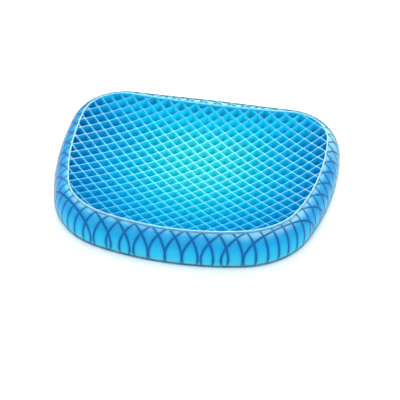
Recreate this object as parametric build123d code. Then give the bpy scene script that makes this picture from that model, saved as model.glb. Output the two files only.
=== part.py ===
from build123d import *

import os
from math import atan2, ceil, cos, hypot, pi, sin, radians, sqrt

# Moulded gel seat cushion, in millimetres.
# +Z up, +Y to the rear of the seat, +X to the sitter's right hand.
# The origin is on the floor plane, at the middle of the outline's width and depth.

# Plan outline: large arcs at the rear, sides and front, joined by smaller corner arcs.
HALF_DEPTH = 182.5
REAR_RADIUS = 920.0
FRONT_RADIUS = 415.0
SIDE_RADIUS = 490.0
SIDE_HALF_WIDTH = 209.0      # half width where the side arc crosses the dish centre line
SIDE_TAPER = radians(6.5)    # lean of the side arc there, narrower towards the front
REAR_CORNER_RADIUS = 96.0
FRONT_CORNER_RADIUS = 118.0

# Dished seat surface: its height over the floor, as a polynomial about the dish centre.
DISH_CENTRE_Y = 18.5
DISH_LOW = 22.0
REACH_X = 200.0
REACH_Y = 170.0
RISE_SIDE = 26.5             # rise one reach to the side
RISE_END = 24.5              # rise one reach to the front or rear
REAR_LIFT = 4.0              # extra rise to the rear, taken off at the front
REAR_CORNER_LIFT = 5.5       # extra rise in the rear corners
CORNER_EASE = 2.5            # taken off again in all four corners

# Rim roll: a quarter ellipse from the inner edge out to the widest line, one more to the foot.
# Across the rear the upper one swells over the inner edge.
RIM_WIDTH = 24.0
RIM_STEP = 1.0               # how far the rim's inner edge stands over the lattice
WIDEST_AT = 0.3              # height of the widest line, as a share of the rim's height
FOOT_INSET = 5.0             # inset of the foot from the widest line
FOOT_LIP = 3.0               # width of the flat foot
SKIN = 2.4                   # skin thickness at the widest line and at the foot
CREST_SKIN = 3.7             # skin thickness at the crest
REAR_SWELL = 10.0            # how far the roll's upper handles stand over its inner edge at the rear
RING_WALL = 1.8

# Diamond lattice: two families of upright walls at 45 degrees to the seat.
CELL = 22.5                  # diagonal of a cell, wall centre to wall centre
WALL = 1.8
CROSSING_X = 8.4             # one of the points where two walls cross
CROSSING_Y = 11.4

# Membrane that closes the cells at mid height.
WEB_LOW = 10.0
WEB = 1.5

ABOVE_ALL = 70.0             # taller than any part of the cushion
TRIM = 3.0                   # how far a rough shape runs past the face that trims it
QUARTER = 0.5523             # handle length that bends a cubic curve into a quarter ellipse
STATIONS = 40                # rim sections along each half of the outline


def seat_height(x, y):
    """Height of the lattice's top at a place in the plan."""
    side = x / REACH_X
    end = (y - DISH_CENTRE_Y) / REACH_Y
    rise = RISE_SIDE * side**2 + RISE_END * end**2 + REAR_LIFT * end**3
    return DISH_LOW + rise + REAR_CORNER_LIFT * side**2 * end - CORNER_EASE * side**2 * end**2


def circle_crossing(centre_a, radius_a, centre_b, radius_b, towards):
    """Crossing of two circles that lies further towards a direction."""
    dx = centre_b[0] - centre_a[0]
    dy = centre_b[1] - centre_a[1]
    gap = hypot(dx, dy)
    along = (radius_a**2 - radius_b**2 + gap**2) / (2 * gap)
    across = sqrt(radius_a**2 - along**2)
    foot = (centre_a[0] + along * dx / gap, centre_a[1] + along * dy / gap)
    step = (-dy / gap * across, dx / gap * across)
    crossings = [(foot[0] + s * step[0], foot[1] + s * step[1]) for s in (1, -1)]
    return max(crossings, key=lambda p: p[0] * towards[0] + p[1] * towards[1])


def heading(centre, point):
    return atan2(point[1] - centre[1], point[0] - centre[0])


def outline_arcs():
    """The right half's arcs from rear to front: centre, radius, start and end angle."""
    rear = (0.0, HALF_DEPTH - REAR_RADIUS)
    front = (0.0, FRONT_RADIUS - HALF_DEPTH)
    side = (
        SIDE_HALF_WIDTH - SIDE_RADIUS * cos(SIDE_TAPER),
        DISH_CENTRE_Y + SIDE_RADIUS * sin(SIDE_TAPER),
    )
    rear_corner = circle_crossing(
        rear, REAR_RADIUS - REAR_CORNER_RADIUS, side, SIDE_RADIUS - REAR_CORNER_RADIUS, (1, 1)
    )
    front_corner = circle_crossing(
        front, FRONT_RADIUS - FRONT_CORNER_RADIUS, side, SIDE_RADIUS - FRONT_CORNER_RADIUS, (1, -1)
    )
    turns = [
        pi / 2,
        heading(rear, rear_corner),
        heading(side, rear_corner),
        heading(side, front_corner),
        heading(front, front_corner),
        -pi / 2,
    ]
    circles = [
        (rear, REAR_RADIUS),
        (rear_corner, REAR_CORNER_RADIUS),
        (side, SIDE_RADIUS),
        (front_corner, FRONT_CORNER_RADIUS),
        (front, FRONT_RADIUS),
    ]
    return [(c, r, turns[i], turns[i + 1]) for i, (c, r) in enumerate(circles)]


def on_arc(centre, radius, angle):
    return (centre[0] + radius * cos(angle), centre[1] + radius * sin(angle))


def outline_face(inset):
    """Plan of the cushion, moved inwards by an inset."""
    edges = []
    for centre, radius, start, end in outline_arcs():
        trio = [on_arc(centre, radius - inset, a) for a in (start, (start + end) / 2, end)]
        edges.append(Edge.make_three_point_arc(*trio))
        left = [(-x, y) for x, y in trio]
        edges.append(Edge.make_three_point_arc(*left))
    return Face(Wire.combine(edges)[0])


def prism(face, low, high):
    return Solid.extrude(face.moved(Location((0, 0, low))), Vector(0, 0, high - low))


def rim_stations():
    """Evenly spaced places along the right half's outline: a point and its outward direction."""
    arcs = outline_arcs()
    lengths = [radius * abs(end - start) for _, radius, start, end in arcs]
    stations = []
    for i in range(STATIONS + 1):
        left = sum(lengths) * i / STATIONS
        arc = 0
        while left > lengths[arc] and arc < len(arcs) - 1:
            left -= lengths[arc]
            arc += 1
        centre, radius, start, end = arcs[arc]
        angle = start + (end - start) * min(left / lengths[arc], 1)
        stations.append((on_arc(centre, radius, angle), (cos(angle), sin(angle))))
    return stations


def crest_swell(x, out_y):
    """The swell of the roll over its inner edge: most in the middle of the rear, none in front."""
    return REAR_SWELL * ((1 + out_y) / 2) ** 2 * (1 - (x / REACH_X) ** 2) ** 2


def rim_section(station, skin, crest_skin):
    """Closed upright section across the rim, drawn in from its outside by the skin's thickness."""
    (x, y), (out_x, out_y) = station

    def place(inset, height):
        return Vector(x - out_x * inset, y - out_y * inset, height)

    edge = place(RIM_WIDTH, 0)
    crest = seat_height(edge.X, edge.Y) + RIM_STEP
    widest = WIDEST_AT * crest
    top = crest - crest_skin
    handle = top + crest_swell(x, out_y)
    foot = FOOT_INSET
    inside = RIM_WIDTH + TRIM
    upper = [
        place(RIM_WIDTH, top),
        place(RIM_WIDTH - QUARTER * (RIM_WIDTH - skin), handle),
        place(skin, widest + QUARTER * (handle - widest)),
        place(skin, widest),
    ]
    lower = [
        place(skin, widest),
        place(skin, widest - QUARTER * (widest - skin)),
        place(foot - QUARTER * (foot - skin), skin),
        place(foot, skin),
    ]
    if skin:
        lip = [place(foot, skin), place(foot + FOOT_LIP, skin), place(foot + FOOT_LIP, -TRIM)]
        floor = [place(inside, -TRIM)]
    else:
        lip = [place(foot, 0)]
        floor = [place(inside, 0)]
    corners = lip + floor + [place(inside, top), place(RIM_WIDTH, top)]
    sides = [Edge.make_line(a, b) for a, b in zip(corners, corners[1:])]
    return Wire([Edge.make_bezier(*upper), Edge.make_bezier(*lower)] + sides)


def rim_ring(skin, crest_skin):
    """The rim's section carried round the whole outline as one closed ring."""
    right = Solid.make_loft([rim_section(s, skin, crest_skin) for s in rim_stations()])
    sides = [f for f in right.faces() if f.center().X > TRIM]
    return Solid(Shell(sides + [f.mirror(Plane.YZ) for f in sides]))


def cell_hole(x, y):
    """Square hole of one cell, its corners to the front, rear and sides."""
    half = CELL / 2 - WALL / sqrt(2)
    corners = [(x + half, y), (x, y + half), (x - half, y), (x, y - half)]
    return Wire.make_polygon(corners, close=True)


def lattice_block():
    """Both wall families as one block, full height, wider than the cushion."""
    reach_x = SIDE_HALF_WIDTH + CELL
    reach_y = HALF_DEPTH + CELL
    columns = ceil(2 * reach_x / CELL)
    rows = ceil(reach_y / CELL)
    holes = []
    for i in range(-columns, columns):
        x = CROSSING_X + CELL * (i + 1) / 2
        for j in range(-rows, rows):
            y = CROSSING_Y + CELL * (j + (i % 2) / 2)
            if abs(x) < reach_x and abs(y) < reach_y:
                holes.append(cell_hole(x, y))
    border = Wire.make_rect(2 * (reach_x + CELL), 2 * (reach_y + CELL))
    return Solid.extrude(Face(border, holes), Vector(0, 0, ABOVE_ALL))


def under_seat():
    """Everything below the dished seat surface."""
    steps = 12
    reach_x = REACH_X + CELL
    reach_y = REACH_Y + 2 * CELL
    grid = []
    for i in range(steps + 1):
        x = reach_x * (2 * i / steps - 1)
        ys = [reach_y * (2 * j / steps - 1) for j in range(steps + 1)]
        grid.append([Vector(x, y, seat_height(x, y)) for y in ys])
    seat = Face.make_surface_from_array_of_points(grid, tol=0.001, min_deg=3, max_deg=5)
    return Solid.extrude(seat, Vector(0, 0, -2 * ABOVE_ALL))


def save(name, shape):
    shape.label = name
    export_step(shape, f"parts/{name}.step")


def main():
    os.makedirs("parts", exist_ok=True)
    opening = outline_face(RIM_WIDTH)
    under_opening = prism(opening, -TRIM, ABOVE_ALL)
    inside_rim = prism(outline_face(RIM_WIDTH - RING_WALL), -TRIM, ABOVE_ALL)
    envelope = rim_ring(0.0, 0.0)
    cavity = rim_ring(SKIN, CREST_SKIN) - inside_rim
    block = lattice_block()

    save("rim_skin", envelope - inside_rim - cavity)
    save("ring_wall", (envelope & inside_rim) - under_opening)
    save("rim_walls", cavity & block)
    save("centre_web", prism(opening, WEB_LOW, WEB_LOW + WEB))
    save("lower_lattice", prism(opening, 0, WEB_LOW) & block)
    save("upper_lattice", prism(opening, WEB_LOW + WEB, ABOVE_ALL) & under_seat() & block)


main()
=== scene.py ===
from math import atan2, ceil, copysign, cos, hypot, pi, radians, sin, sqrt

import bmesh
import bpy
from mathutils import Matrix, Vector


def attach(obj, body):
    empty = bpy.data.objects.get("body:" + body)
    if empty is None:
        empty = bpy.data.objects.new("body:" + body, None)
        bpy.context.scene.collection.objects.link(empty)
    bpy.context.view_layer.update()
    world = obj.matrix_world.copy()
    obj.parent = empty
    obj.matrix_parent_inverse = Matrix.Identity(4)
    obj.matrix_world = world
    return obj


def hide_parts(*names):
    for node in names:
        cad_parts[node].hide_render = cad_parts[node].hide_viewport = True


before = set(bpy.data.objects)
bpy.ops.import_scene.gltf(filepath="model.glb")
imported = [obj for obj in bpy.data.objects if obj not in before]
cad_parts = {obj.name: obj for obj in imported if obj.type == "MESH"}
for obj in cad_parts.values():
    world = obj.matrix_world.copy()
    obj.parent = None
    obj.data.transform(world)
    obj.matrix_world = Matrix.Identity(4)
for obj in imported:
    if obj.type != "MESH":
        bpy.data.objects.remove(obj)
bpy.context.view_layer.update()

MM = 0.001

# The cushion's driving sizes, the same as its CAD's.
# Plan outline: large arcs at the rear, sides and front, joined by smaller corner arcs.
HALF_DEPTH = 182.5 * MM
REAR_RADIUS = 920.0 * MM
FRONT_RADIUS = 415.0 * MM
SIDE_RADIUS = 490.0 * MM
SIDE_HALF_WIDTH = 209.0 * MM  # half width where the side arc crosses the dish centre line
SIDE_TAPER = radians(6.5)     # lean of the side arc there, narrower towards the front
REAR_CORNER_RADIUS = 96.0 * MM
FRONT_CORNER_RADIUS = 118.0 * MM

# Dished seat surface: its height over the floor, as a polynomial about the dish centre.
DISH_CENTRE_Y = 18.5 * MM
DISH_LOW = 22.0 * MM
REACH_X = 200.0 * MM
REACH_Y = 170.0 * MM
RISE_SIDE = 26.5 * MM         # rise one reach to the side
RISE_END = 24.5 * MM          # rise one reach to the front or rear
REAR_LIFT = 4.0 * MM          # extra rise to the rear, taken off at the front
REAR_CORNER_LIFT = 5.5 * MM   # extra rise in the rear corners
CORNER_EASE = 2.5 * MM        # taken off again in all four corners

# Rim roll: a quarter ellipse from the inner edge out to the widest line, one more to the foot.
# Across the rear the upper one swells over the inner edge.
RIM_WIDTH = 24.0 * MM
RIM_STEP = 1.0 * MM           # how far the rim's inner edge stands over the lattice
WIDEST_AT = 0.3               # height of the widest line, as a share of the rim's height
FOOT_INSET = 5.0 * MM         # inset of the foot from the widest line
FOOT_LIP = 3.0 * MM           # width of the flat foot
SKIN = 2.4 * MM               # skin thickness at the widest line and at the foot
CREST_SKIN = 3.7 * MM         # skin thickness at the crest
REAR_SWELL = 10.0 * MM        # rise of the roll's upper handles over its inner edge at the rear
QUARTER = 0.5523              # handle length that bends a cubic curve into a quarter ellipse
RING_WALL = 1.8 * MM

# Diamond lattice, and the membrane that closes its cells at mid height.
CELL = 22.5 * MM              # diagonal of a cell, wall centre to wall centre
WALL = 1.8 * MM
CROSSING_X = 8.4 * MM         # one of the points where two walls cross
CROSSING_Y = 11.4 * MM
WEB_LOW = 10.0 * MM
WEB = 1.5 * MM

# Finer shape that only the visible pieces have.
EDGE_ROUND = 0.55 * MM        # rounding of the walls' free edges
CORNER_FILLET = 2.2 * MM      # fillet where two walls meet
FILLET_STEPS = 5
SIDE_STEPS = 3                # steps along each side of a cell
OUTLINE_STEPS = 480
RIM_STEPS = 16                # steps from crest to widest line, and from there to the foot
SINK = 0.35 * MM              # how far the skin is drawn in over each wall behind it
SINK_WIDTH = 2 * WALL         # how far from a wall's middle the skin is drawn in
SINK_FULL = 8 * SKIN          # height from which it is drawn in all the way
SAG = 0.3 * MM                # how far the membrane dips in the middle of a cell
PLAY = 0.1 * MM               # gap between faces that would lie in one another
ON_EDGE = 0.02 * MM           # points nearer than this to the opening's edge lie on it
MERGE = 0.002 * MM            # points nearer than this are one point
SMOOTH_ANGLE = radians(40)    # faces that meet at less than this are shaded as one

# The rim's points carry "turn": 0 on its crest, 1 on its widest line and 2 at its foot.
NEARLY_CREST = 0.3
NO_TURN = 2.0                 # for a point that lies away from the rim's curve

# The seat's painted glow: how far it reaches from its centre to the sides and to the ends.
GLOW_X = 185 * MM
GLOW_CENTRE_X = 8 * MM
GLOW_Y = 230 * MM
GLOW_CENTRE_Y = 30 * MM

# The seat's colours, from its outer part to its middle, where painted glow lightens them.
BODY_STOPS = (
    (0.1, (0.01, 0.52, 0.80)),
    (0.5, (0.01, 0.66, 0.86)),
    (0.8, (0.02, 0.76, 0.88)),
    (1.0, (0.10, 0.83, 0.88)),
)
# Painted highlight on the wall tops, from the seat's outer part to its middle.
TOP_HIGHLIGHT_STOPS = ((0.1, (0.32, 0.78, 0.97)), (0.6, (0.22, 0.80, 0.97)), (1.0, (0.42, 0.97, 1.0)))
# Painted light that lightens the deep rear cells.
REAR_BODY_LIGHT = (0.02, 0.82, 0.98)
# Painted shade on the wall tops at the rear.
REAR_TOP_SHADE = (0.0, 0.36, 0.62)
WEB_LIGHT = (0.03, 0.56, 0.95)
WEB_PAINTED_GLOW = 0.45               # painted glow of the membrane at its edge, where the cells are deep
GEL_IOR = 1.42
GEL_ROUGH = 0.25
GEL_GLOW = 0.6                # share of light that passes through the walls

# Flow marks of the moulding: a noise, its range that counts, and what it does to the surface.
MARKS_SCALE = 140.0
MARKS_DETAIL = 3.0
MARKS_RANGE = (0.3, 0.7)
MARKS_ROUGH = (0.8, 1.25)     # shares of the surface's roughness at the ends of the range
MARKS_STRENGTH = 0.25
MARKS_DEPTH = 0.4 * MM

# The rim's colours. The stops run from its crest to its foot. Its pale crest is a painted
# highlight, and its lighter foot is painted light.
SKIN_STOPS = (
    (0.0, (0.62, 0.95, 1.0)),
    (0.05, (0.40, 0.90, 1.0)),
    (0.12, (0.06, 0.54, 0.92)),
    (0.3, (0.01, 0.50, 0.90)),
    (0.5, (0.04, 0.66, 0.89)),
    (0.9, (0.19, 0.77, 0.89)),
)
# Painted highlight on the ring wall's top and on the crest of the front right corner.
RING_HIGHLIGHT = (0.62, 0.95, 1.0)
# Painted light seen through the clear skin along the rear crest.
REAR_CREST_LIGHT = (0.62, 0.93, 0.96)
# Painted shade on the left rim.
LEFT_SHADE_BLUE = (0.01, 0.38, 0.78)
SKIN_TINT = (0.35, 0.9, 0.98)
SKIN_SOLID = 0.85             # how solid the skin's inner face is at its crest
SKIN_GLOW = 0.15              # share of light that passes through where it is solid
SKIN_ROUGH = 0.4
CLEAR_TINT = (0.86, 0.97, 1.0)
CLEAR_SOLID = 0.03            # how solid the skin's outer face is, seen square on
EDGE_COLOUR = (0.14, 0.50, 0.66)
GLOSS_IOR = 1.18
GLOSS_ROUGH = 0.15

# The dark lines where the walls behind the skin meet it, and the broad shade along them. Each
# width runs from a wall's middle to where its line or its shade ends.
LINE_COLOUR = (0.001, 0.14, 0.42)
REAR_LINE = (0.01, 0.17, 0.28)
LINE_WIDTH = 2.5 * MM
LINE_CORE = 0.35              # share of the line's width that is fully dark
SHADE_COLOUR = (0.0, 0.30, 0.78)
SHADE_WIDTH = 6.5 * MM
SHADE_CORE = 0.1
SHADE = 0.4                   # strength of the shade

# Smooth steps: where each starts and ends, and what it gives there if not 0 and 1. The comment
# names the value that it runs over.
# The painted highlight on the wall tops.
HIGHLIGHT_FACING = (0.35, 0.95)                            # upward part of the normal
HIGHLIGHT_HEIGHT = (13 * MM, 18 * MM)                      # z, above the membrane
HIGHLIGHT_CENTRE_Y = 10 * MM
HIGHLIGHT_ENDS = (40 * MM, 130 * MM, 1.0, 0.3)             # distance from HIGHLIGHT_CENTRE_Y
# Painted light in the rear cells.
REAR_BODY_LIGHT_FADE = (80 * MM, 145 * MM, 0.0, 0.75)        # y
# Painted shade on the wall tops at the rear.
REAR_TOP_SHADE_FADE = (85 * MM, 140 * MM, 0.0, 0.75)         # y
# The ring wall's painted highlight.
RING_HIGHLIGHT_FADE = (0.0, 1.0, 1.0, 0.0)                       # turn
RING_HIGHLIGHT_REAR = (110 * MM, 150 * MM, 1.0, 0.55)            # y
WEB_FADE = (0.2, 0.85, 0.9, 0.0)                       # centrality
ALONG_WALL = (0.8, 0.93, 1.0, 0.0)                     # how nearly a wall runs along the surface
SHADE_FOOT = (0.9, 1.6, 1.0, 0.3)                      # turn
# The left rim's painted shade.
LEFT_SHADE_FADE = (-200 * MM, -150 * MM, 0.8, 0.0)           # x
LEFT_SHADE_TURN = (0.7, 1.2, 1.0, 0.0)                       # turn
# The front right corner's painted highlight.
FRONT_RIGHT_HIGHLIGHT_FADE = (215 * MM, 270 * MM)                # x - y
FRONT_RIGHT_HIGHLIGHT_TURN = (0.15, 0.45, 0.6, 0.0)              # turn
# Where the rear crest gets its painted light.
REAR_FADE = (120 * MM, 160 * MM)                       # y
REAR_RIGHT_FADE = (225 * MM, 300 * MM, 0.0, 0.85)      # x + y
REAR_TURN = (0.4, 0.8, 1.0, 0.0)                       # turn
WIDTH_CREST = (0.05, 0.5, LINE_WIDTH * 0.75, LINE_WIDTH)  # turn
WIDTH_REAR = (120 * MM, 160 * MM, 1.0, 1.6)            # y
WIDTH_LEFT = (-195 * MM, -165 * MM, 1.2, 1.0)          # x
DEPTH_CREST = (0.0, 0.35, 0.8, 1.0)                    # turn
DEPTH_FOOT = (1.1, 1.8, 1.0, 0.6)                      # turn
SOLID_TURN = (0.4, 0.9, SKIN_SOLID, 1.0)               # turn
SOLID_EDGE = (0.78, 1.0, CLEAR_SOLID, 0.95)            # how nearly the surface is seen edge on


# ---------------------------------------------------------------- the shape's formulas

def seat_height(x, y):
    """Height of the lattice's top at a place in the plan."""
    side = x / REACH_X
    end = (y - DISH_CENTRE_Y) / REACH_Y
    rise = RISE_SIDE * side**2 + RISE_END * end**2 + REAR_LIFT * end**3
    return DISH_LOW + rise + REAR_CORNER_LIFT * side**2 * end - CORNER_EASE * side**2 * end**2


def circle_crossing(centre_a, radius_a, centre_b, radius_b, towards):
    """Crossing of two circles that lies further towards a direction."""
    dx = centre_b[0] - centre_a[0]
    dy = centre_b[1] - centre_a[1]
    gap = hypot(dx, dy)
    along = (radius_a**2 - radius_b**2 + gap**2) / (2 * gap)
    across = sqrt(radius_a**2 - along**2)
    foot = (centre_a[0] + along * dx / gap, centre_a[1] + along * dy / gap)
    step = (-dy / gap * across, dx / gap * across)
    crossings = [(foot[0] + s * step[0], foot[1] + s * step[1]) for s in (1, -1)]
    return max(crossings, key=lambda p: p[0] * towards[0] + p[1] * towards[1])


def heading(centre, point):
    return atan2(point[1] - centre[1], point[0] - centre[0])


def outline_arcs():
    """The right half's arcs from rear to front: centre, radius, start and end angle."""
    rear = (0.0, HALF_DEPTH - REAR_RADIUS)
    front = (0.0, FRONT_RADIUS - HALF_DEPTH)
    side = (
        SIDE_HALF_WIDTH - SIDE_RADIUS * cos(SIDE_TAPER),
        DISH_CENTRE_Y + SIDE_RADIUS * sin(SIDE_TAPER),
    )
    rear_corner = circle_crossing(
        rear, REAR_RADIUS - REAR_CORNER_RADIUS, side, SIDE_RADIUS - REAR_CORNER_RADIUS, (1, 1)
    )
    front_corner = circle_crossing(
        front, FRONT_RADIUS - FRONT_CORNER_RADIUS, side, SIDE_RADIUS - FRONT_CORNER_RADIUS, (1, -1)
    )
    turns = [
        pi / 2,
        heading(rear, rear_corner),
        heading(side, rear_corner),
        heading(side, front_corner),
        heading(front, front_corner),
        -pi / 2,
    ]
    circles = [
        (rear, REAR_RADIUS),
        (rear_corner, REAR_CORNER_RADIUS),
        (side, SIDE_RADIUS),
        (front_corner, FRONT_CORNER_RADIUS),
        (front, FRONT_RADIUS),
    ]
    return [(c, r, turns[i], turns[i + 1]) for i, (c, r) in enumerate(circles)]


ARCS = outline_arcs()


def outline(count):
    """Evenly spaced places round the whole outline: point and outward direction, clockwise."""
    lengths = [radius * abs(end - start) for _, radius, start, end in ARCS]
    half = []
    for i in range(count // 2 + 1):
        left = 2 * sum(lengths) * i / count
        arc = 0
        while arc < len(ARCS) - 1 and left > lengths[arc]:
            left -= lengths[arc]
            arc += 1
        (cx, cy), radius, start, end = ARCS[arc]
        angle = start + (end - start) * min(left / lengths[arc], 1)
        out = (cos(angle), sin(angle))
        half.append(((cx + radius * out[0], cy + radius * out[1]), out))
    left_half = [((-x, y), (-nx, ny)) for (x, y), (nx, ny) in half[-2:0:-1]]
    return half + left_half


def rim_place(x, y):
    """How far a place in the plan lies inside the outline, and the direction straight out of it."""
    found = []
    for (cx, cy), radius, start, end in ARCS:
        dx = abs(x) - cx
        dy = y - cy
        if end <= atan2(dy, dx) <= start:
            far = hypot(dx, dy)
            found.append((radius - far, (copysign(dx / far, x), dy / far)))
    return min(found)


def inset_of(x, y):
    return rim_place(x, y)[0]


def crest_height(x, y, out):
    """Height of the rim's inner edge, abreast of a place on the outline."""
    return seat_height(x - out[0] * RIM_WIDTH, y - out[1] * RIM_WIDTH) + RIM_STEP


def bezier(handles, share):
    """Place on a cubic curve, as inset and height."""
    rest = 1 - share
    weights = (rest**3, 3 * share * rest**2, 3 * share**2 * rest, share**3)
    return tuple(sum(w * h[i] for w, h in zip(weights, handles)) for i in (0, 1))


def crest_swell(x, out):
    """Rise of the roll's upper handles over its inner edge: most in the middle of the rear."""
    return REAR_SWELL * ((1 + out[1]) / 2) ** 2 * (1 - (x / REACH_X) ** 2) ** 2


def rim_profile(crest, swell, skin, crest_skin):
    """The rim's curve from crest to foot, drawn in by the skin's thickness, as inset and height."""
    widest = WIDEST_AT * crest
    top = crest - crest_skin
    upper = [
        (RIM_WIDTH, top),
        (RIM_WIDTH - QUARTER * (RIM_WIDTH - skin), top + swell),
        (skin, widest + QUARTER * (top + swell - widest)),
        (skin, widest),
    ]
    lower = [
        (skin, widest),
        (skin, widest - QUARTER * (widest - skin)),
        (FOOT_INSET - QUARTER * (FOOT_INSET - skin), skin),
        (FOOT_INSET, skin),
    ]
    curve = [bezier(upper, i / RIM_STEPS) for i in range(RIM_STEPS)]
    return curve + [bezier(lower, i / RIM_STEPS) for i in range(RIM_STEPS + 1)]


def height_on(curve, inset):
    """Height of one half of the rim's curve at an inset."""
    for (inset_a, height_a), (inset_b, height_b) in zip(curve, curve[1:]):
        if min(inset_a, inset_b) <= inset <= max(inset_a, inset_b) and inset_a != inset_b:
            return height_a + (inset - inset_a) / (inset_b - inset_a) * (height_b - height_a)
    return curve[0][1] if abs(inset - curve[0][0]) < abs(inset - curve[-1][0]) else curve[-1][1]


def wall_offset(x, y):
    """Distance from the middle of the nearest lattice wall."""
    distances = []
    for sign in (1, -1):
        along = ((x - CROSSING_X) + sign * (y - CROSSING_Y)) / CELL
        distances.append(abs(along - round(along)) * CELL / sqrt(2))
    return min(distances)


# ---------------------------------------------------------------- mesh helpers

def new_piece(name, vertices, faces, second=(), turns=()):
    """A mesh object. second lists the faces of its second material, turns gives points' turn."""
    mesh = bpy.data.meshes.new(name)
    mesh.from_pydata(vertices, [], faces)
    for face in second:
        mesh.polygons[face].material_index = 1
    if turns:
        mesh.attributes.new("turn", "FLOAT", "POINT").data.foreach_set("value", turns)
    made = bmesh.new()
    made.from_mesh(mesh)
    bmesh.ops.remove_doubles(made, verts=made.verts, dist=MERGE)
    bmesh.ops.recalc_face_normals(made, faces=made.faces)
    made.to_mesh(mesh)
    made.free()
    mesh.shade_smooth()
    mesh.set_sharp_from_angle(angle=SMOOTH_ANGLE)
    piece = bpy.data.objects.new(name, mesh)
    bpy.context.scene.collection.objects.link(piece)
    return piece


def closed_grid(loops):
    """Points and faces of a ring of closed loops that all have the same number of points."""
    vertices = [p for loop in loops for p in loop]
    size = len(loops[0])
    faces = []
    for i in range(len(loops)):
        here = i * size
        there = (i + 1) % len(loops) * size
        for j in range(size):
            k = (j + 1) % size
            faces.append((here + j, here + k, there + k, there + j))
    return vertices, faces


def clip(polygon, point, out):
    """The part of a polygon behind the line through a point across an outward direction."""
    kept = []
    sides = [(x - point[0]) * out[0] + (y - point[1]) * out[1] for x, y in polygon]
    for i, (x, y) in enumerate(polygon):
        before = i - 1
        if (sides[i] > 0) != (sides[before] > 0):
            share = sides[before] / (sides[before] - sides[i])
            px, py = polygon[before]
            kept.append((px + share * (x - px), py + share * (y - py)))
        if sides[i] <= 0:
            kept.append((x, y))
    return kept


# The opening's edge as short straight runs, each a point and an outward direction.
OPENING = [
    ((x - nx * RIM_WIDTH, y - ny * RIM_WIDTH), (nx, ny))
    for (x, y), (nx, ny) in outline(OUTLINE_STEPS)
]


def clip_to_opening(polygon, middle):
    """A small polygon's part inside the rim's inner edge, which only the nearest runs can cut."""
    near = 1.5 * CELL
    for point, out in OPENING:
        if hypot(point[0] - middle[0], point[1] - middle[1]) < near:
            polygon = clip(polygon, point, out)
    return polygon


# ---------------------------------------------------------------- lattice

def cell_centres(margin):
    """Centres of the cells that lie further inside the outline than a margin."""
    columns = ceil(2 * SIDE_HALF_WIDTH / CELL) + 2
    rows = ceil(HALF_DEPTH / CELL) + 2
    centres = []
    for i in range(-columns, columns):
        for j in range(-rows, rows):
            x = CROSSING_X + CELL * (i + 1) / 2
            y = CROSSING_Y + CELL * (j + (i % 2) / 2)
            if inset_of(x, y) > margin:
                centres.append((x, y))
    return centres


def tile_border(x, y):
    """The square round a cell along the middles of its walls."""
    half = CELL / 2
    corners = [(x + half, y), (x, y + half), (x - half, y), (x, y - half)]
    border = []
    for i, (ax, ay) in enumerate(corners):
        bx, by = corners[(i + 1) % 4]
        for k in range(SIDE_STEPS):
            share = k / SIDE_STEPS
            border.append((ax + share * (bx - ax), ay + share * (by - ay)))
    return border


def tile_hole(x, y, grow):
    """The cell's filleted square hole, grown by a distance."""
    half = CELL / 2 - WALL / sqrt(2) + grow * sqrt(2)
    fillet = CORNER_FILLET + grow
    hole = []
    for quarter in range(4):
        facing = quarter * pi / 2
        to_centre = half - fillet * sqrt(2)
        fx = x + to_centre * cos(facing)
        fy = y + to_centre * sin(facing)
        for k in range(FILLET_STEPS):
            a = facing + (k / (FILLET_STEPS - 1) - 0.5) * pi / 2
            hole.append((fx + fillet * cos(a), fy + fillet * sin(a)))
        ax, ay = hole[-1]
        ahead = facing + pi / 2
        bx = x + to_centre * cos(ahead) + fillet * cos(ahead - pi / 4)
        by = y + to_centre * sin(ahead) + fillet * sin(ahead - pi / 4)
        for k in range(1, SIDE_STEPS):
            share = k / SIDE_STEPS
            hole.append((ax + share * (bx - ax), ay + share * (by - ay)))
    return hole


def zipper(outer, inner, middle):
    """Triangles between two loops of indexed points round the same middle point."""
    def angle(entry):
        return atan2(entry[1][1] - middle[1], entry[1][0] - middle[0])

    outer = sorted(outer, key=angle)
    inner = sorted(inner, key=angle)
    faces = []
    i = j = 0
    while i < len(outer) or j < len(inner):
        a = outer[i % len(outer)][0]
        b = inner[j % len(inner)][0]
        next_outer = angle(outer[(i + 1) % len(outer)]) + 2 * pi * ((i + 1) // len(outer))
        next_inner = angle(inner[(j + 1) % len(inner)]) + 2 * pi * ((j + 1) // len(inner))
        step_outer = j >= len(inner) or (i < len(outer) and next_outer <= next_inner)
        if step_outer:
            faces.append((a, outer[(i + 1) % len(outer)][0], b))
            i += 1
        else:
            faces.append((a, inner[(j + 1) % len(inner)][0], b))
            j += 1
    return faces


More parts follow.
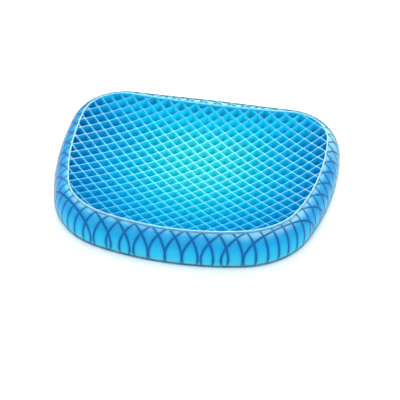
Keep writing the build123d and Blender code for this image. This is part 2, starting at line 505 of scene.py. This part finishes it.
def lattice_mesh(end_height, root_height):
    """Walls of all cells in the opening, from their root to a rounded free end."""
    vertices = []
    faces = []

    def add(points, height):
        first = len(vertices)
        vertices.extend((px, py, height(px, py)) for px, py in points)
        return [(first + k, p) for k, p in enumerate(points)]

    toward = 1 if end_height(0, 0) > root_height else -1
    part = 0.3 * EDGE_ROUND
    for x, y in cell_centres(RIM_WIDTH - CELL / 2):
        border = clip_to_opening(tile_border(x, y), (x, y))
        hole = clip_to_opening(tile_hole(x, y, 0), (x, y))
        if len(border) < 3:
            continue
        if len(hole) < 3:
            sliver = add(border, end_height)
            faces.append([k for k, _ in sliver])
            continue
        rings = []
        for grow, drop in ((EDGE_ROUND, 0.0), (part, part), (0, EDGE_ROUND)):
            ring = clip_to_opening(tile_hole(x, y, grow), (x, y))
            if len(ring) != len(hole):
                ring = hole
            rings.append(add(ring, lambda px, py, d=drop: end_height(px, py) - toward * d))
        rings.append(add(hole, lambda px, py: root_height))
        cx = sum(p[0] for p in hole) / len(hole)
        cy = sum(p[1] for p in hole) / len(hole)
        top = add(border, end_height)
        root = add(border, lambda px, py: root_height)
        faces.extend(zipper(top, rings[0], (cx, cy)))
        faces.extend(zipper(root, rings[-1], (cx, cy)))
        for upper, lower in zip(rings, rings[1:]):
            for k in range(len(upper)):
                n = (k + 1) % len(upper)
                faces.append((upper[k][0], upper[n][0], lower[n][0], lower[k][0]))
        on_edge = [inset_of(px, py) < RIM_WIDTH + ON_EDGE for px, py in border]
        for k in range(len(border)):
            n = (k + 1) % len(border)
            if on_edge[k] and on_edge[n]:
                faces.append((top[k][0], top[n][0], root[n][0], root[k][0]))
    return vertices, faces


def upper_lattice():
    """The open-top diamond lattice under the sitter."""
    return new_piece("gel_upper_lattice", *lattice_mesh(seat_height, WEB_LOW + WEB))


def lower_lattice():
    """The same lattice under the membrane, its free ends on the floor."""
    return new_piece("gel_lower_lattice", *lattice_mesh(lambda x, y: 0.0, WEB_LOW))


def centre_web():
    """The membrane at mid height, dimpled a little between its walls."""
    rings = 70
    hub = 0.004  # where the innermost ring lies, as a share of the way out
    loops = []
    for side, level in ((1, WEB_LOW + WEB), (-1, WEB_LOW)):
        sheet = []
        for r in range(rings + 1):
            share = max(r / rings, hub)
            loop = []
            for (ex, ey), _ in OPENING:
                px = ex * share
                py = ey * share
                dip = SAG * min(wall_offset(px, py) / (CELL / 4), 1)
                loop.append((px, py, level - dip))
            sheet.append(loop)
        loops += sheet if side == 1 else sheet[::-1]
    vertices, faces = closed_grid(loops)
    return new_piece("gel_centre_web", vertices, faces)


# ---------------------------------------------------------------- rim

def rim_skin():
    """The rolled skin: a closed hollow section carried round the outline.

    It is drawn in over the walls behind it, inwards at its sides and downwards at its crest.
    """
    joint = RIM_WIDTH - RING_WALL
    lip = FOOT_INSET + FOOT_LIP
    curve_points = 2 * RIM_STEPS + 1
    loops = []
    for (x, y), out in outline(OUTLINE_STEPS * 3):
        crest = crest_height(x, y, out)
        swell = crest_swell(x, out)
        outer = rim_profile(crest, swell, 0.0, 0.0)
        inner = rim_profile(crest, swell, SKIN, CREST_SKIN)
        for curve in (outer, inner):
            curve[0] = (joint, height_on(curve[:2], joint))
        loop = []
        for (inset, height), (inner_inset, _) in zip(outer, inner):
            off = wall_offset(x - out[0] * inner_inset, y - out[1] * inner_inset)
            sink = SINK * max(0.0, 1 - off / SINK_WIDTH) ** 2 * min(1, height / SINK_FULL)
            downwards = inset / RIM_WIDTH
            inset += sink * (1 - downwards)
            loop.append((x - out[0] * inset, y - out[1] * inset, height - sink * downwards))
        for inset, height in [(lip, 0.0), (lip, SKIN)] + inner[::-1]:
            loop.append((x - out[0] * inset, y - out[1] * inset, height))
        loops.append(loop)
    vertices, faces = closed_grid(loops)
    size = len(loops[0])
    # The inner side's faces, from the foot's lip up to the joint with the ring wall.
    inside = [k for k in range(len(faces)) if curve_points < k % size < size - 1]
    along = [k / RIM_STEPS for k in range(curve_points)]
    turns = (along + [NO_TURN, NO_TURN] + along[::-1]) * len(loops)
    return new_piece("gel_rim_skin", vertices, faces, second=inside, turns=turns)


def ring_wall():
    """The upright wall round the rim's inner edge, rounded towards the lattice.

    Its turn is 0 near the top, so that it is pale there with a painted highlight.
    """
    round_steps = 5
    joint = RIM_WIDTH - RING_WALL
    loops = []
    for (x, y), out in outline(OUTLINE_STEPS * 2):
        crest = crest_height(x, y, out)
        curve = rim_profile(crest, crest_swell(x, out), 0.0, 0.0)
        top = height_on(curve[:2], joint)
        section = [(joint, h) for h in (0.0, top - 2 * CREST_SKIN, top - CREST_SKIN, top)]
        for k in range(round_steps + 1):
            a = pi / 2 * k / round_steps
            round_in = RIM_WIDTH - EDGE_ROUND * (1 - sin(a))
            section.append((round_in, crest - EDGE_ROUND * (1 - cos(a))))
        section += [(RIM_WIDTH, crest - CREST_SKIN / 2), (RIM_WIDTH, 0.0)]
        loops.append([(x - out[0] * i, y - out[1] * i, h) for i, h in section])
    turns = [NO_TURN, NO_TURN, NEARLY_CREST] + [0.0] * (round_steps + 2) + [NO_TURN, NO_TURN]
    return new_piece("gel_ring_wall", *closed_grid(loops), turns=turns * len(loops))


def rim_wall_runs():
    """Straight runs of lattice wall inside the hollow rim: middle, direction, start and stop."""
    step = 0.5 * MM
    reach = SIDE_HALF_WIDTH + HALF_DEPTH
    walls = ceil(reach / CELL)
    runs = []
    for sign in (1, -1):
        for n in range(-walls, walls + 1):
            level = CROSSING_X + sign * CROSSING_Y + CELL * n
            along = (sqrt(0.5), -sign * sqrt(0.5))
            base = (level / 2, sign * level / 2)
            inside = False
            start = 0.0
            for k in range(int(2 * reach / step) + 1):
                s = -reach + k * step
                inset = inset_of(base[0] + along[0] * s, base[1] + along[1] * s)
                hollow = SKIN < inset < RIM_WIDTH - RING_WALL
                if hollow and not inside:
                    start = s
                if inside and not hollow and s - step - start > WALL:
                    runs.append((base, along, start, s - step))
                inside = hollow
    return runs


def rim_walls():
    """The lattice walls that carry on inside the hollow rim, up to the skin."""
    vertices = []
    faces = []
    long_steps = 18
    high_steps = 4
    row = high_steps + 1
    for base, along, start, stop in rim_wall_runs():
        across = (-along[1], along[0])
        first = len(vertices)
        for side in (-WALL / 2, WALL / 2):
            for k in range(long_steps + 1):
                s = start + (stop - start) * k / long_steps
                px = base[0] + along[0] * s + across[0] * side
                py = base[1] + along[1] * s + across[1] * side
                inset, out = rim_place(px, py)
                edge = (px + out[0] * inset, py + out[1] * inset)
                inset = min(max(inset, SKIN + PLAY), RIM_WIDTH - RING_WALL - PLAY)
                px = edge[0] - out[0] * inset
                py = edge[1] - out[1] * inset
                swell = crest_swell(edge[0], out)
                curve = rim_profile(crest_height(*edge, out), swell, SKIN, CREST_SKIN)
                low = height_on(curve[RIM_STEPS:], inset) if inset < FOOT_INSET + FOOT_LIP else 0.0
                high = max(height_on(curve[:RIM_STEPS + 1], inset) - PLAY, low)
                for m in range(row):
                    vertices.append((px, py, low + (high - low) * m / high_steps))

        def at(side, k, m):
            return first + (side * (long_steps + 1) + k) * row + m

        for k in range(long_steps):
            n = k + 1
            for m in range(high_steps):
                for side in (0, 1):
                    corners = ((k, m), (n, m), (n, m + 1), (k, m + 1))
                    faces.append([at(side, *c) for c in corners])
            for m in (0, high_steps):
                faces.append((at(0, k, m), at(0, n, m), at(1, n, m), at(1, k, m)))
        for m in range(high_steps):
            for k in (0, long_steps):
                faces.append((at(0, k, m), at(0, k, m + 1), at(1, k, m + 1), at(1, k, m)))
    return new_piece("gel_rim_walls", vertices, faces)


# ---------------------------------------------------------------- materials

def put(tree, kind, inputs, **settings):
    """One shader node, its inputs given as other nodes' outputs or as values."""
    made = tree.nodes.new(kind)
    for name, value in settings.items():
        setattr(made, name, value)
    for key, value in inputs.items():
        if isinstance(value, bpy.types.NodeSocket):
            tree.links.new(value, made.inputs[key])
        else:
            made.inputs[key].default_value = value
    return made


def calc(tree, operation, *values):
    """A number worked out from other numbers."""
    return put(tree, "ShaderNodeMath", dict(enumerate(values)), operation=operation).outputs[0]


def fade(tree, value, low, high, to_low=0.0, to_high=1.0):
    """A smooth step from one level to another while a value goes from low to high."""
    inputs = {"Value": value, "From Min": low, "From Max": high}
    inputs.update({"To Min": to_low, "To Max": to_high})
    return put(tree, "ShaderNodeMapRange", inputs, interpolation_type="SMOOTHSTEP").outputs[0]


def ramp(tree, value, stops):
    """A colour that runs through stops, each a position and a colour."""
    made = put(tree, "ShaderNodeValToRGB", {"Fac": value})
    elements = made.color_ramp.elements
    while len(elements) < len(stops):
        elements.new(0.5)
    for element, (position, colour) in zip(elements, stops):
        element.position = position
        element.color = (*colour, 1)
    return made.outputs["Color"]


def blend(tree, share, first, second):
    """Two colours mixed, all of the second where the share is 1."""
    made = put(tree, "ShaderNodeMix", {0: share}, data_type="RGBA")
    for key, value in ((6, first), (7, second)):
        if isinstance(value, bpy.types.NodeSocket):
            tree.links.new(value, made.inputs[key])
        else:
            made.inputs[key].default_value = (*value, 1)
    return made.outputs[2]


def place(tree):
    """The object's own coordinates, together and as three numbers."""
    where = put(tree, "ShaderNodeTexCoord", {}).outputs["Object"]
    split = put(tree, "ShaderNodeSeparateXYZ", {0: where})
    return where, split.outputs[0], split.outputs[1], split.outputs[2]


def centrality(tree, x, y):
    """1 in the middle of the seat, falling away to its sides and more slowly to its ends."""
    across = calc(tree, "ABSOLUTE", calc(tree, "SUBTRACT", x, GLOW_CENTRE_X))
    across = calc(tree, "POWER", calc(tree, "DIVIDE", across, GLOW_X), 2)
    along = calc(tree, "ABSOLUTE", calc(tree, "SUBTRACT", y, GLOW_CENTRE_Y))
    along = calc(tree, "POWER", calc(tree, "DIVIDE", along, GLOW_Y), 2)
    return calc(tree, "SUBTRACT", calc(tree, "SUBTRACT", 1, across), along)


def wall_lines(tree, x, y, width, core):
    """1 on the lattice walls' middles, falling to 0 at a width from them along the surface.

    core is the share of the width that is still 1. A wall that runs along the surface has none.
    level and off are measured along x or y, and so are sqrt(2) times the distance.
    """
    least = 0.01  # keeps the slope off 0
    normal = put(tree, "ShaderNodeNewGeometry", {}).outputs["True Normal"]
    facing = put(tree, "ShaderNodeSeparateXYZ", {0: normal}).outputs
    masks = []
    for sign in (1, -1):
        level = calc(tree, "MULTIPLY_ADD", y, sign, x)
        level = calc(tree, "SUBTRACT", level, CROSSING_X + sign * CROSSING_Y)
        off = calc(tree, "PINGPONG", level, CELL / 2)
        square = calc(tree, "MULTIPLY_ADD", facing[1], sign, facing[0])
        square = calc(tree, "DIVIDE", calc(tree, "POWER", calc(tree, "ABSOLUTE", square), 2), 2)
        slope = calc(tree, "MAXIMUM", calc(tree, "SUBTRACT", 1, square), least)
        slope = calc(tree, "SQRT", slope)
        off = calc(tree, "DIVIDE", calc(tree, "DIVIDE", off, width), slope)
        line = fade(tree, off, core * sqrt(2), sqrt(2), 1.0, 0.0)
        masks.append(calc(tree, "MULTIPLY", line, fade(tree, square, *ALONG_WALL)))
    return calc(tree, "MAXIMUM", *masks)


def start_material(name):
    material = bpy.data.materials.new(name)
    material.use_nodes = True
    tree = material.node_tree
    return material, tree, tree.nodes["Principled BSDF"], tree.nodes["Material Output"]


def surface_detail(tree, where, shader, rough):
    """Faint flow marks of the moulding, in the gloss and in the surface."""
    noise = {"Vector": where, "Scale": MARKS_SCALE, "Detail": MARKS_DETAIL}
    marks = put(tree, "ShaderNodeTexNoise", noise).outputs["Fac"]
    smooth, coarse = (rough * share for share in MARKS_ROUGH)
    gloss = fade(tree, marks, *MARKS_RANGE, smooth, coarse)
    tree.links.new(gloss, shader.inputs["Roughness"])
    relief = {"Height": marks, "Strength": MARKS_STRENGTH, "Distance": MARKS_DEPTH}
    bump = put(tree, "ShaderNodeBump", relief).outputs[0]
    tree.links.new(bump, shader.inputs["Normal"])


def rim_turn(tree):
    """0 on the rim's crest, 1 on its widest line and 2 at its foot."""
    return put(tree, "ShaderNodeAttribute", {}, attribute_name="turn").outputs["Fac"]


def lattice_gel(name, painted_tops=False, on_rim=False, membrane=False):
    """Solid gel of the walls: cyan in the middle of the seat and blue outwards.

    One with painted tops is paler on its free tops, a painted highlight, and darker on them at the
    rear, painted shade. One on the rim is paler near the rim's crest, a painted highlight. The
    membrane is bluer towards its edge and has a painted glow there.
    """
    material, tree, shader, output = start_material(name)
    where, x, y, z = place(tree)
    # Painted glow: lighter towards the middle of the seat, bluer outwards.
    middle = centrality(tree, x, y)
    colour = ramp(tree, middle, BODY_STOPS)
    # Painted light that lightens the deep rear cells.
    rear = fade(tree, y, *REAR_BODY_LIGHT_FADE)
    colour = blend(tree, rear, colour, REAR_BODY_LIGHT)
    if painted_tops:
        # Painted highlight on the free wall tops, where they face up.
        normal = put(tree, "ShaderNodeNewGeometry", {}).outputs["Normal"]
        facing_up = put(tree, "ShaderNodeSeparateXYZ", {0: normal}).outputs[2]
        top = fade(tree, facing_up, *HIGHLIGHT_FACING)
        top_highlight = calc(tree, "MULTIPLY", top, fade(tree, z, *HIGHLIGHT_HEIGHT))
        end = calc(tree, "ABSOLUTE", calc(tree, "SUBTRACT", y, HIGHLIGHT_CENTRE_Y))
        top_highlight = calc(tree, "MULTIPLY", top_highlight, fade(tree, end, *HIGHLIGHT_ENDS))
        colour = blend(tree, top_highlight, colour, ramp(tree, middle, TOP_HIGHLIGHT_STOPS))
        # Painted shade on the wall tops at the rear.
        rear_top_shade = calc(tree, "MULTIPLY", top, fade(tree, y, *REAR_TOP_SHADE_FADE))
        colour = blend(tree, rear_top_shade, colour, REAR_TOP_SHADE)
    if on_rim:
        # Painted highlight on the ring wall's top.
        painted_light = fade(tree, rim_turn(tree), *RING_HIGHLIGHT_FADE)
        painted_light = calc(tree, "MULTIPLY", painted_light, fade(tree, y, *RING_HIGHLIGHT_REAR))
        colour = blend(tree, painted_light, colour, RING_HIGHLIGHT)
    if membrane:
        side = fade(tree, middle, *WEB_FADE)
        colour = blend(tree, side, colour, WEB_LIGHT)
        # Painted glow at the membrane's edge, where its cells are deep.
        tree.links.new(colour, shader.inputs["Emission Color"])
        painted_glow = calc(tree, "MULTIPLY", side, WEB_PAINTED_GLOW)
        tree.links.new(painted_glow, shader.inputs["Emission Strength"])
    tree.links.new(colour, shader.inputs["Base Color"])
    shader.inputs["IOR"].default_value = GEL_IOR
    surface_detail(tree, where, shader, GEL_ROUGH)
    through = put(tree, "ShaderNodeBsdfTranslucent", {"Color": colour})
    mixed = put(
        tree, "ShaderNodeMixShader", {0: GEL_GLOW, 1: shader.outputs[0], 2: through.outputs[0]}
    )
    tree.links.new(mixed.outputs[0], output.inputs["Surface"])
    return material


def skin_inside_gel(name):
    """The skin's inner face: colour with painted light and shade, a dark line along each wall
    behind it.
    """
    material, tree, shader, output = start_material(name)
    where, x, y, _ = place(tree)
    turn = rim_turn(tree)
    # The pale crest is a painted highlight and the lighter foot is painted light.
    colour = ramp(tree, calc(tree, "MULTIPLY", turn, 0.5), SKIN_STOPS)
    shade = calc(tree, "MULTIPLY", wall_lines(tree, x, y, SHADE_WIDTH, SHADE_CORE), SHADE)
    shade = calc(tree, "MULTIPLY", shade, fade(tree, turn, *SHADE_FOOT))
    colour = blend(tree, shade, colour, SHADE_COLOUR)
    # Painted shade on the left rim.
    left = fade(tree, x, *LEFT_SHADE_FADE)
    left = calc(tree, "MULTIPLY", left, fade(tree, turn, *LEFT_SHADE_TURN))
    colour = blend(tree, left, colour, LEFT_SHADE_BLUE)
    # Painted highlight on the crest of the front right corner.
    corner_highlight = fade(tree, calc(tree, "SUBTRACT", x, y), *FRONT_RIGHT_HIGHLIGHT_FADE)
    corner_highlight = calc(tree, "MULTIPLY", corner_highlight, fade(tree, turn, *FRONT_RIGHT_HIGHLIGHT_TURN))
    colour = blend(tree, corner_highlight, colour, RING_HIGHLIGHT)
    # Painted light along the rear crest, where the clear skin is seen through.
    rear = fade(tree, y, *REAR_FADE)
    rear_right = fade(tree, calc(tree, "ADD", x, y), *REAR_RIGHT_FADE)
    rear = calc(tree, "MAXIMUM", rear, rear_right)
    painted_light = calc(tree, "MULTIPLY", rear, fade(tree, turn, *REAR_TURN))
    colour = blend(tree, painted_light, colour, REAR_CREST_LIGHT)
    width = fade(tree, turn, *WIDTH_CREST)
    width = calc(tree, "MULTIPLY", width, fade(tree, y, *WIDTH_REAR))
    width = calc(tree, "MULTIPLY", width, fade(tree, x, *WIDTH_LEFT))
    lines = wall_lines(tree, x, y, width, LINE_CORE)
    depth = fade(tree, turn, *DEPTH_CREST)
    depth = calc(tree, "MULTIPLY", depth, fade(tree, turn, *DEPTH_FOOT))
    lines = calc(tree, "MULTIPLY", lines, depth)
    line_colour = blend(tree, rear, LINE_COLOUR, REAR_LINE)
    colour = blend(tree, lines, colour, line_colour)
    tree.links.new(colour, shader.inputs["Base Color"])
    shader.inputs["Specular IOR Level"].default_value = 0.0
    surface_detail(tree, where, shader, SKIN_ROUGH)
    through = put(tree, "ShaderNodeBsdfTranslucent", {"Color": colour})
    cloudy = put(
        tree, "ShaderNodeMixShader", {0: SKIN_GLOW, 1: shader.outputs[0], 2: through.outputs[0]}
    )
    clear = put(tree, "ShaderNodeBsdfTransparent", {"Color": (*SKIN_TINT, 1)})
    solid = calc(tree, "MAXIMUM", fade(tree, turn, *SOLID_TURN), lines)
    mixed = put(tree, "ShaderNodeMixShader", {0: solid, 1: clear.outputs[0], 2: cloudy.outputs[0]})
    tree.links.new(mixed.outputs[0], output.inputs["Surface"])
    return material


def skin_gel(name):
    """The skin's outer face: clear, glossy, and cloudier where it is seen edge on."""
    material, tree, shader, output = start_material(name)
    where = place(tree)[0]
    shader.inputs["Base Color"].default_value = (*EDGE_COLOUR, 1)
    shader.inputs["Specular IOR Level"].default_value = 0.0
    surface_detail(tree, where, shader, SKIN_ROUGH)
    clear = put(tree, "ShaderNodeBsdfTransparent", {"Color": (*CLEAR_TINT, 1)})
    facing = put(tree, "ShaderNodeLayerWeight", {"Blend": 0.5}).outputs["Facing"]
    solid = fade(tree, facing, *SOLID_EDGE)
    mixed = put(tree, "ShaderNodeMixShader", {0: solid, 1: clear.outputs[0], 2: shader.outputs[0]})
    gloss = put(tree, "ShaderNodeBsdfGlossy", {"Roughness": GLOSS_ROUGH})
    edge = put(tree, "ShaderNodeFresnel", {"IOR": GLOSS_IOR}).outputs[0]
    mixed = put(tree, "ShaderNodeMixShader", {0: edge, 1: mixed.outputs[0], 2: gloss.outputs[0]})
    tree.links.new(mixed.outputs[0], output.inputs["Surface"])
    return material


def floor_white():
    material, tree, shader, _ = start_material("floor_white")
    shader.inputs["Base Color"].default_value = (0.98, 0.98, 0.98, 1)
    shader.inputs["Roughness"].default_value = 0.7
    return material


# ---------------------------------------------------------------- stage, light and camera

def camera():
    """Looks down on the cushion's front from a little to its right, slightly tilted."""
    azimuth = radians(9.42)
    elevation = radians(38.0)
    tilt = radians(1.69)
    distance = 1.176
    target = Vector((0.0179, -0.0368, 0.0))
    back = Vector((sin(azimuth) * cos(elevation), -cos(azimuth) * cos(elevation), sin(elevation)))
    level = Vector((cos(azimuth), sin(azimuth), 0))
    steep = back.cross(level)
    right = cos(tilt) * level + sin(tilt) * steep
    up = cos(tilt) * steep - sin(tilt) * level
    data = bpy.data.cameras.new("camera")
    data.sensor_width = 36.0
    data.lens = 73.1
    made = bpy.data.objects.new("camera", data)
    bpy.context.scene.collection.objects.link(made)
    facing = Matrix((right, up, back)).transposed().to_4x4()
    made.matrix_world = Matrix.Translation(target + back * distance) @ facing
    bpy.context.scene.camera = made


def stage():
    """A plain white floor."""
    size = 4.0
    made = bmesh.new()
    bmesh.ops.create_grid(made, x_segments=1, y_segments=1, size=size)
    mesh = bpy.data.meshes.new("floor")
    made.to_mesh(mesh)
    made.free()
    floor = bpy.data.objects.new("floor", mesh)
    bpy.context.scene.collection.objects.link(floor)
    mesh.materials.append(floor_white())


def lights():
    """An even white room and a soft box behind and above the cushion."""
    world = bpy.data.worlds.new("studio")
    bpy.context.scene.world = world
    world.use_nodes = True
    world.node_tree.nodes["Background"].inputs["Color"].default_value = (1, 1, 1, 1)
    world.node_tree.nodes["Background"].inputs["Strength"].default_value = 1.35
    data = bpy.data.lights.new("softbox", "AREA")
    data.energy = 22
    data.shape = "RECTANGLE"
    data.size = 1.4
    data.size_y = 0.6
    lamp = bpy.data.objects.new("softbox", data)
    lamp.location = (-0.2, 1.1, 1.2)
    lamp.rotation_euler = (Vector((0, 0, 0)) - lamp.location).to_track_quat("-Z", "Y").to_euler()
    bpy.context.scene.collection.objects.link(lamp)
    bpy.context.scene.view_settings.view_transform = "Standard"


def main():
    skin = [skin_gel("gel_skin"), skin_inside_gel("gel_skin_inside")]
    walls = [lattice_gel("gel_walls", painted_tops=True)]
    ring = [lattice_gel("gel_ring", on_rim=True)]
    hidden = [lattice_gel("gel_inner_walls")]
    membrane = [lattice_gel("gel_membrane", painted_tops=True, membrane=True)]
    for build, node, slot, materials in (
        (rim_skin, "rim_skin", "rim_gel", skin),
        (ring_wall, "ring_wall", "rim_gel", ring),
        (rim_walls, "rim_walls", "lattice_gel", hidden),
        (upper_lattice, "upper_lattice", "lattice_gel", walls),
        (lower_lattice, "lower_lattice", "lattice_gel", walls),
        (centre_web, "centre_web", "web_gel", membrane),
    ):
        piece = build()
        for material in materials:
            piece.data.materials.append(material)
        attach(piece, "root")
        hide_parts(node)
    stage()
    lights()
    camera()


main()
